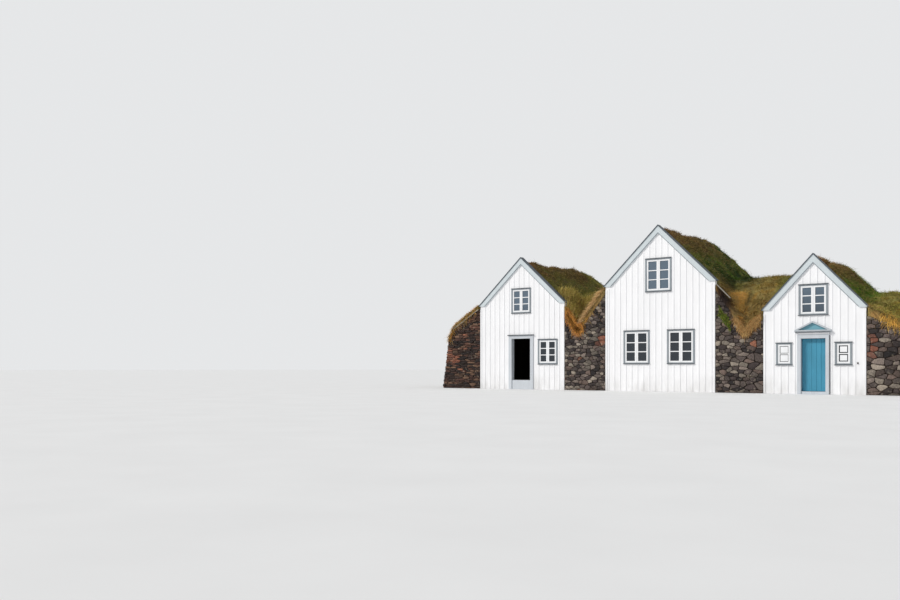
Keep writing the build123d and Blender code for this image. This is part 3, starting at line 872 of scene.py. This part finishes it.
def stone_walls():
    """Stones on every wall; spots of red stones are given as across, up and reach."""
    for name in front_walls + [f"{side}_back_wall" for side in sides]:
        wall_core(name)

    spots = [(-9.1, 1.35, 0.3)]
    tone = tone_of(brown_stones, 0.05, spots)
    wall_front("left_end_wall", (0.27, 0.075), 0.24, within_end("left"), tone, 11)

    name = "left_cross_wall"
    low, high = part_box(name)
    spots = [(high.x - 0.25, 1.95, 0.2), (low.x + 0.7, 1.35, 0.13)]
    wall_front(name, (0.21, 0.115), 0.3, under_wall_top(name), tone_of(basalt, 0.03, spots), 12)

    name = "right_cross_wall"
    squared = (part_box(name)[1].x - 0.6, 1.7)
    wall_front(name, (0.22, 0.125), 0.28, under_wall_top(name), tone_of(basalt, 0.01), 13, squared)

    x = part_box("right_end_wall")[0].x
    spots = [(x + 0.27, 1.42, 0.14), (x + 0.25, 1.88, 0.13)]
    wall_front("right_end_wall", (0.26, 0.15), 0.28, within_end("right"), tone_of(basalt, 0.01, spots), 14)

    gap = 0.01
    ends = (front_y + gap, back_y - gap)
    for side, tone, seed in (("left", tone_of(brown_stones, 0.06), 15), ("right", tone_of(basalt, 0.04), 16)):
        top = end_outline(side)[1][1]
        wall_side(f"{side}_end_stones", end_place(side), ends, top, (0, back_lean), tone, seed)
    across, leans = (cad_low.x + gap, cad_high.x - gap), (end_lean("left"), end_lean("right"))
    tone = tone_of(basalt + brown_stones, 0.04)
    wall_side("back_stones", back_place, across, hem_height + 0.02, leans, tone, 17)


# Turf
russet, rust, ochre, gold, pale_gold, straw, beige, dark_earth = (linear(*c) for c in (
    (158, 108, 62), (164, 96, 58), (216, 154, 70), (226, 186, 92),
    (240, 206, 138), (200, 168, 110), (206, 170, 128), (58, 46, 42),
))
olive_brown, olive, dark_green, bright_green, lime = (linear(*c) for c in (
    (116, 98, 54), (132, 126, 64), (58, 84, 34), (104, 140, 44), (176, 168, 84),
))
green_shares = np.array([(0.2, 0.15), (0.3, 0.95), (0.25, 0.95)])
bare_patch, bare_reach = (2.95, front_y), (0.32, 0.45)
# Painted shade: a darkened patch where the valley's shadow falls on the middle house's east slope
shaded_patch, shaded_reach = (2.8, -0.1), (0.6, 2.2)


def fewer(count):
    return int(count * (1.0))


def blend(first, second, share):
    return first + (second - first) * share[:, None]


def noise_at(points, scale, seed, octaves):
    """Smooth noise over the ground plan, stretched by a scale along X and Y."""
    return np.array([
        noise.fractal(Vector((x * scale[0], y * scale[1], seed)), 1.0, 2.0, octaves) for x, y in points[:, :2]
    ])


def house_shares(points):
    """Which house a point belongs to, which side of its ridge, and how far down, with 1 at the wall."""
    which = np.digitize(points[:, 0], valleys)
    offset = points[:, 0] - np.array([h.center for h in houses])[which]
    return which, (offset > 0).astype(int), np.abs(offset) / np.array([h.half for h in houses])[which]


def squared_distance(points, center, reach):
    """How far each point is from a patch of ground, in shares of its reach along X and Y."""
    return (((points[:, :2] - center) / reach) ** 2).sum(1)


def shade_at(points):
    """How near each point is to the patch of painted shade on the middle house's east slope, from 0 to 1."""
    return np.exp(-squared_distance(points, shaded_patch, shaded_reach) ** 1.5)


def turf_colours(points):
    """Dry colours at the ridges, green on the slopes, straw over the walls and in the valleys."""
    which, east, down = house_shares(points)
    patch = noise_at(points, (1.1, 1.1), 2.0, 4)
    fleck = noise_at(points, (5, 5), 7.0, 2)
    streak = noise_at(points, (0.9, 5.5), 4.0, 2)
    down = np.maximum(down, 0.7 * smoothstep(0.6, 2.2, points[:, 1] + 0.8 * patch)) + 0.12 * patch
    behind = points[:, 1] - front_y
    near_front = np.exp(-behind / 0.8)

    ridge = blend(olive_brown, russet, np.clip(np.exp(-behind / 2.2) + 0.8 * fleck, 0, 1))
    lower = smoothstep(-0.05, 0.22, down + 0.45 * fleck + 0.2 * patch) * (1 - 0.6 * near_front)
    colour = blend(ridge, olive_brown, lower)
    colour = blend(colour, olive, smoothstep(0.18, 0.6, down + 0.4 * fleck + 0.2 * patch))

    darker = smoothstep(-0.2, 0.5, patch + np.where(which == 1, 0.35, -0.2))
    green = blend(bright_green, dark_green, darker)
    green_share = green_shares[which, east] * (1 - 0.45 * near_front)
    colour = blend(colour, green, green_share * smoothstep(0.3, 0.7, down + 0.2 * fleck))
    colour = blend(colour, lime, 0.65 * smoothstep(0.1, 0.5, streak) * smoothstep(0.3, 0.8, down))

    dry = blend(straw, ochre, smoothstep(-0.2, 0.6, fleck))
    dry = blend(dry, olive, 0.5 * smoothstep(0.0, 0.5, patch))
    colour = blend(colour, dry, smoothstep(0.86, 1.08, down) * (0.3 + 0.7 * np.exp(-behind / 1.3)))
    # Painted shade: dark green laid over the shaded patch
    colour = blend(colour, 0.6 * dark_green, np.clip(0.85 + patch + fleck, 0, 1) * shade_at(points))
    return blend(colour, dark_earth, np.exp(-squared_distance(points, bare_patch, bare_reach) ** 2))


def turf_columns():
    """Places across the row, with a pair where each house's roof begins and ends."""
    edges = [h.center + sign * (h.reach + roof_clearance) for h in houses for sign in (-1, 1)]
    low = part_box("left_turf_west")[0].x + turf_margin
    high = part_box("right_turf_east")[1].x - turf_margin
    places = list(np.linspace(low, high, int((high - low) / turf_step)))
    places = [x for x in places if min(abs(x - e) for e in edges) > 0.3 * turf_step]
    places += [e + d for e in edges for d in (-0.004, 0.004)]
    return np.array(sorted(places + list(valleys)))


def turf_start(x):
    on_roof = any(abs(x - h.center) < h.reach + roof_clearance for h in houses)
    return inner_y if on_roof else front_y


def turf_rows():
    """Shares of the depth, evenly spaced along the tallest ridge and down its back, and where they end."""
    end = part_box("middle_turf_west")[1].y - turf_margin
    beyond_gable, beside_ridge, step = 0.19, 0.02, 0.002
    ys = np.arange(front_y + beyond_gable, end, step)
    zs = np.array([height_on(turf_tree, middle_house.center + beside_ridge, y) for y in ys])
    lengths = np.concatenate([[0], np.cumsum(np.hypot(np.diff(ys), np.diff(zs)))])
    count = int(lengths[-1] / turf_step)
    places = np.interp(np.linspace(0, lengths[-1], count), lengths, ys)
    return (places - places[0]) / (places[-1] - places[0]), end


def turf_surface(xs):
    """The upper face of all the turf, softened and lumpy, as a grid of points."""
    shares, end = turf_rows()
    grid = np.zeros((len(xs), len(shares), 3))
    for i, x in enumerate(xs):
        start = turf_start(x)
        for j, share in enumerate(shares):
            y = start + (end - start) * share
            grid[i, j] = (x, y, height_on(turf_tree, x, y + (0.002 if j == 0 else 0)))
    for _ in range(3):
        around = (grid[:-2, 1:-1] + grid[2:, 1:-1] + grid[1:-1, :-2] + grid[1:-1, 2:]) / 4
        grid[1:-1, 1:-1] = grid[1:-1, 1:-1] * 0.5 + around * 0.5
    normals = np.cross(np.gradient(grid, axis=0), np.gradient(grid, axis=1))
    normals /= np.maximum(np.linalg.norm(normals, axis=2, keepdims=True), 1e-9)
    lumps = [
        lump_height * noise.fractal(p * 1.7, 1.0, 2.0, 3) + small_lump_height * noise.noise(p * 7.0)
        for p in map(Vector, grid.reshape(-1, 3))
    ]
    grid += normals * (np.array(lumps).reshape(grid.shape[:2])[..., None] - turf_sink)
    grid[:, -1, 1] = end
    return grid


def turf_front(grid, xs):
    """Three rows that turn the front edge down over the walls."""
    walls = search_tree(front_walls)
    rows = []
    for depth, bulge in ((1.0, -0.06), (0.7, 0.035), (0.35, 0.03)):
        edge = grid[:, 0].copy()
        for i, x in enumerate(xs):
            z = edge[i, 2]
            under = height_on(walls, x, front_y + 0.01, z - 0.3)
            drop = z - min(under - 0.05, z - 0.1)
            edge[i, 2] -= depth * drop * (1 + 0.25 * noise.noise(Vector((x * 3, depth, 0))))
            if turf_start(x) == front_y:
                edge[i, 1] -= bulge * (1 + 0.5 * noise.noise(Vector((x * 4, depth, 3))))
        rows.append(edge)
    return np.stack(rows, 1)


def turf_back(grid):
    """Two rows that turn the back edge down and fold it in at the hem."""
    rows = []
    for z, inward in ((hem_height + 0.03, 0.0), (hem_height, hem_fold)):
        edge = grid[:, -1].copy()
        edge[:, 2] = np.minimum(edge[:, 2] - 0.01, z)
        edge[:, 1] -= inward
        rows.append(edge)
    return np.stack(rows, 1)


def turf_end(grid, side):
    """Three columns, from inside to outside, that turn one end down and fold it in at the hem."""
    hem = end_outline(side)[1][1] - 0.02
    half_down, down, under = (grid[0 if side == "left" else -1].copy() for _ in range(3))
    half_down[:, 2] = (half_down[:, 2] + hem) / 2
    down[:, 2] = hem + 0.02
    under[:, 2] = hem
    under[:, 0] -= end_signs[side] * hem_fold
    return [half_down, down, under]


def turf_grid():
    """The turf's upper face with all its edges turned down."""
    xs = turf_columns()
    grid = turf_surface(xs)
    grid = np.concatenate([turf_front(grid, xs), grid, turf_back(grid)], axis=1)
    left, right = turf_end(grid, "left"), turf_end(grid, "right")
    return np.concatenate([np.stack(left[::-1]), grid, np.stack(right)], axis=0)


def grid_faces(columns, rows):
    i, j = np.meshgrid(np.arange(columns - 1), np.arange(rows - 1), indexing="ij")
    a = (i * rows + j).ravel()
    return np.column_stack([a, a + rows, a + rows + 1, a + 1])


def scatter(grid, count, rng):
    """Random places on a grid, evenly by area, with the normal at each."""
    a, b, c, d = grid[:-1, :-1], grid[1:, :-1], grid[1:, 1:], grid[:-1, 1:]
    cross = np.cross(c - a, d - b).reshape(-1, 3)
    area = np.linalg.norm(cross, axis=1)
    chosen = rng.choice(len(area), count, p=area / area.sum())
    s, t = rng.random((2, count, 1))
    a, b, c, d = (corner.reshape(-1, 3)[chosen] for corner in (a, b, c, d))
    points = a * (1 - s) * (1 - t) + b * s * (1 - t) + c * s * t + d * (1 - s) * t
    return points, cross[chosen] / np.maximum(area[chosen, None], 1e-9)


def clear_of_gables(strands):
    """Which strands keep out of the gable fronts."""
    clear = np.ones(len(strands), bool)
    x, y, z = np.moveaxis(strands, 2, 0)
    for house in houses:
        offset = np.abs(x - house.center)
        roof = house.apex + gable_clearance - house.slope * offset
        inside = (offset < house.half + gable_clearance) & (y < inner_y) & (z < roof)
        clear &= ~inside.any(axis=1)
    return clear


def make_strands(name, roots, directions, lengths, droop, colours, segments, rng, width=blade_width):
    """Tapered ribbons that rise along a direction and bend under their own weight."""
    widths = width * rng.uniform(*blade_spread, len(roots))
    rng = np.random.default_rng(len(roots))
    directions = directions / np.linalg.norm(directions, axis=1, keepdims=True)
    sideways = np.cross(directions, rng.normal(0, 1, directions.shape))
    sideways /= np.linalg.norm(sideways, axis=1, keepdims=True)
    rows, painted_root_shade = [], []
    for k in range(segments + 1):
        t = k / segments
        spine = roots + directions * (lengths * t)[:, None]
        spine[:, 2] -= lengths * droop * t * t
        half = (widths / 2 * (1 - 0.6 * t * t))[:, None]
        edges = [spine] if k == segments else [spine - sideways * half, spine + sideways * half]
        rows += edges
        # Painted shade: each blade darker at the root, lighter towards the tip
        painted_root_shade += [0.55 + 0.6 * t] * len(edges)
    strands = np.stack(rows, 1)
    clear = clear_of_gables(strands)
    strands, colours = strands[clear], colours[clear]
    points = np.clip(strands.reshape(-1, 3), np.array(cad_low) + 0.001, np.array(cad_high) - 0.001)
    strip = []
    for a in range(0, 2 * segments - 2, 2):
        strip += [(a, a + 1, a + 3), (a, a + 3, a + 2)]
    tip = 2 * segments
    strip.append((tip - 2, tip - 1, tip))
    base = np.arange(len(strands))[:, None, None] * (tip + 1)
    faces = (base + np.array(strip)).reshape(-1, 3)
    piece = make_piece(name, points, faces.tolist(), grass_material)
    set_tint(piece, (colours[:, None, :] * np.array(painted_root_shade)[:, None]).reshape(-1, 3))


def grass(house, part, seed):
    """Tussocks over one house's turf, leaning down the slope."""
    rng = np.random.default_rng(seed)
    count = fewer(tussocks_per_house)
    centres, normals = scatter(part, count, rng)
    tones = rng.uniform(0.55, 1.45, count)
    lean = rng.normal(0, 0.25, (count, 3))
    pick = np.repeat(np.arange(count), blades_per_tussock)
    total = len(pick)
    normals = normals[pick]
    offset = rng.normal(0, tussock_spread, (total, 3))
    offset -= normals * (offset * normals).sum(1, keepdims=True)
    roots = centres[pick] + offset - normals * 0.02
    downhill = normals * normals[:, 2:] - (0, 0, 1.0)
    directions = normals * 0.55 + downhill * 0.45 + lean[pick] + rng.normal(0, 0.22, (total, 3)) + (0, 0, 0.3)
    wall = smoothstep(0.85, 1.1, house_shares(roots)[2])
    lengths = rng.uniform(0.08, 0.17, total) + wall * rng.uniform(0.0, 0.14, total)
    lengths[rng.random(total) < stalk_share] *= 2.1
    droop = rng.uniform(0.1, 0.45, total) + 0.25 * wall
    colours = turf_colours(centres)[pick] * tones[pick][:, None] * rng.uniform(0.85, 1.15, (total, 1))
    dry = rng.random(total) < dry_blade_share
    dry &= np.linalg.norm(roots[:, :2] - bare_patch, axis=1) > 0.5
    # No straw-coloured blades inside the patch of painted shade
    dry &= rng.random(total) > shade_at(roots)
    colours[dry] = straw * rng.uniform(0.6, 1.05, (dry.sum(), 1))
    make_strands(f"{house.side}_grass", roots, directions, lengths, droop, colours, 2, rng)


# Straw and tufts where the photograph shows them; y is counted from the fronts, and below from the turf
Growth = namedtuple("Growth", "x y below lean length droop colours count")
growths = [Growth(*row) for row in (
    ((-3.4, -2.75), (-0.02, -0.02), (-0.1, 0.1), (0, -0.5, 0), (0.2, 0.36), 0.8, (ochre, rust), 2000),
    ((-3.5, -2.85), (-0.02, 0.8), (0, 0), (0.3, -0.5, 0.3), (0.15, 0.32), 0.7, (ochre, olive_brown), 1500),
    ((-2.75, -1.8), (-0.02, 0.5), (0, 0.1), (-0.5, -0.25, 0.5), (0.22, 0.45), 0.5, (beige, straw), 2600),
    ((-4.0, -3.0), (-0.02, 1.6), (0, 0), (0.2, -0.2, 0.9), (0.3, 0.62), 0.35, (lime, straw), 2200),
    ((2.95, 3.5), (0.55, 1.2), (0, 0), (-0.35, -0.35, 0.7), (0.25, 0.5), 0.5, (pale_gold, gold), 2200),
    ((3.4, 4.3), (-0.02, -0.02), (0, 0.15), (0, -0.4, 0.1), (0.15, 0.3), 0.7, (russet, straw), 2200),
    ((3.7, 4.3), (-0.02, 1.0), (0, 0), (0.3, -0.3, 0.5), (0.2, 0.4), 0.5, (straw, olive), 1500),
    ((2.78, 3.2), (-0.02, -0.02), (0.5, 0.9), (0, -0.5, 0.4), (0.08, 0.16), 0.3, (bright_green, lime), 700),
    ((8.15, 8.8), (-0.02, 0.5), (0, 0.15), (0.1, -0.4, 0.2), (0.2, 0.36), 0.8, (gold, ochre), 1600),
    ((7.75, 8.6), (-0.02, 1.4), (0, 0), (0.3, -0.3, 0.5), (0.12, 0.28), 0.6, (lime, olive), 1400),
    ((-9.2, -7.75), (-0.02, 0.5), (0, 0.05), (-0.3, -0.3, 0.5), (0.1, 0.24), 0.5, (beige, ochre), 2200),
)]


def long_growth(grid):
    """The longer straw and tufts at the walls' tops and in the valleys."""
    rng = np.random.default_rng(51)
    edge_xs, edge_tops = grid[:, 4, 0], grid[:, 4, 2]
    clearance = 0.02
    gathered = []
    for growth in growths:
        count = fewer(growth.count)
        x = rng.uniform(*growth.x, count)
        y = front_y + rng.uniform(*growth.y, count)
        z = np.array([height_on(turf_tree, a, max(b, front_y + clearance), 0) for a, b in zip(x, y)])
        z = np.where(y < front_y + clearance, np.interp(x, edge_xs, edge_tops), z) - 0.03
        z -= rng.uniform(*growth.below, count)
        directions = np.array(growth.lean) + rng.normal(0, 0.25, (count, 3))
        lengths = rng.uniform(*growth.length, count)
        droop = growth.droop * rng.uniform(0.6, 1.2, count)
        colours = blend(*growth.colours, rng.random(count) ** 1.3) * rng.uniform(0.8, 1.5, (count, 1))
        gathered.append((np.column_stack([x, y, z]), directions, lengths, droop, colours))
    roots, directions, lengths, droop, colours = (np.concatenate(parts) for parts in zip(*gathered))
    make_strands("straw_tufts", roots, directions, lengths, droop, colours, 4, rng, blade_width * 1.2)


def wall_fringe(grid):
    """Short dry grass hanging over the top of every wall, at the front, the ends and the back."""
    rng = np.random.default_rng(61)
    front, back = grid[3:-3, 3], grid[3:-3, -3]
    west, east = grid[2, 3:-2], grid[-3, 3:-2]
    roots, outward = [], []
    for line, direction in ((front, (0, -1, 0)), (back, (0, 1, 0)), (west, (-1, 0, 0)), (east, (1, 0, 0))):
        steps = np.linalg.norm(np.diff(line, axis=0), axis=1)
        along = np.concatenate([[0], np.cumsum(steps)])
        places = rng.uniform(0, along[-1], fewer(along[-1] * fringe_per_metre))
        points = np.column_stack([np.interp(places, along, line[:, k]) for k in range(3)])
        if line is front:
            points = points[points[:, 1] < inner_y - 0.1]
            points = points[np.linalg.norm(points[:, :2] - bare_patch, axis=1) > 0.4]
        roots.append(points)
        outward.append(np.tile(direction, (len(points), 1)))
    roots, outward = np.vstack(roots), np.vstack(outward)
    count = len(roots)
    directions = outward * 0.6 + rng.normal(0, 0.3, (count, 3)) + (0, 0, 0.25)
    colours = blend(straw, olive, rng.random(count)) * rng.uniform(0.5, 1.1, (count, 1))
    lengths = rng.uniform(0.08, 0.2, count)
    droop = rng.uniform(0.6, 1.1, count)
    make_strands("wall_fringe", roots, directions, lengths, droop, colours, 3, rng)


def turf():
    """The turf of each house, cut at the valleys, and all that grows on it."""
    grid = turf_grid()
    columns, rows = grid.shape[:2]
    xs = grid[:, rows // 2, 0]
    cuts = [0] + [int(np.argmin(np.abs(xs - v))) for v in valleys] + [columns - 1]
    for k, house in enumerate(houses):
        part = grid[cuts[k]:cuts[k + 1] + 1]
        points = part.reshape(-1, 3)
        faces = grid_faces(*part.shape[:2]).tolist()
        name = f"{house.side}_turf"
        replaced = [f"{name}_west", f"{name}_east"]
        piece = make_piece(name, points, faces, turf_material, row, replaced, smooth=True)
        set_tint(piece, turf_colours(points) * 0.6)
        grass(house, part, 31 + k)
    long_growth(grid)
    wall_fringe(grid)


def loose_boards():
    """The weathered board along the left end wall's top and the thin plank at the middle house's eave."""
    boards = Boards(small_chamfer)
    ys = (front_y - 0.06, front_y + 0.03)
    for (x0, z0), (x1, z1), thickness in loose_planks:
        half = hypot(x1 - x0, z1 - z0) / 2
        x, z = (x0 + x1) / 2, (z0 + z1) / 2
        zs = (z - thickness / 2, z + thickness / 2)
        boards.add((x - half, x + half), ys, zs, -atan((z1 - z0) / (x1 - x0)))
    boards.make("loose_boards", weathered, "inner_boards")


# Camera, light and floor
def stage():
    scene = bpy.context.scene
    camera = add_object("camera", bpy.data.cameras.new("camera"), camera_settings)
    camera.location = camera_place
    camera.rotation_euler = (radians(90), 0, radians(camera_turn_degrees))
    scene.camera = camera

    sun = add_object("sun", bpy.data.lights.new("sun", "SUN"), sun_settings)
    sun.rotation_euler = (radians(90 - sun_elevation_degrees), 0, radians(-sun_azimuth_degrees))

    scene.world = bpy.data.worlds.new("surround")
    scene.world.use_nodes = True
    tree = scene.world.node_tree
    surround = tree.nodes["Background"]
    fill_inputs(tree, surround, {"Color": surround_colour, "Strength": surround_strength})
    seen = add_node(tree, "Background", {"Color": background_colour})
    rays = tree.nodes.new("ShaderNodeLightPath").outputs
    shown = rays["Is Camera Ray"]
    for kind in ("Is Transmission Ray", "Is Glossy Ray"):
        shown = add_node(tree, "Math", {0: shown, 1: rays[kind]}, operation="MAXIMUM")
    mixed = add_node(tree, "MixShader", {0: shown, 1: surround.outputs[0], 2: seen})
    fill_inputs(tree, tree.nodes["World Output"], {"Surface": mixed})

    bpy.ops.mesh.primitive_circle_add(
        vertices=96, radius=floor_radius, fill_type="NGON", location=(0, 0, -floor_drop)
    )
    floor = bpy.context.object
    floor.name = "floor"
    paint = Shader("floor", {"Roughness": 0.9})
    speckle = paint.ramp(paint.noise(0.8, detail=3), 0.3, 0.7)
    paint.set_surface({"Base Color": paint.mix(speckle, *map(grey, floor_greys))})
    floor.data.materials.append(paint.material)
    scene.view_settings.view_transform = "Standard"


stage()
dress_nodes()
for house in houses:
    battens(house)
    barge_shadow_lines(house)
    window_joinery(house)
blinds()
door_pieces()
stone_walls()
loose_boards()
turf()
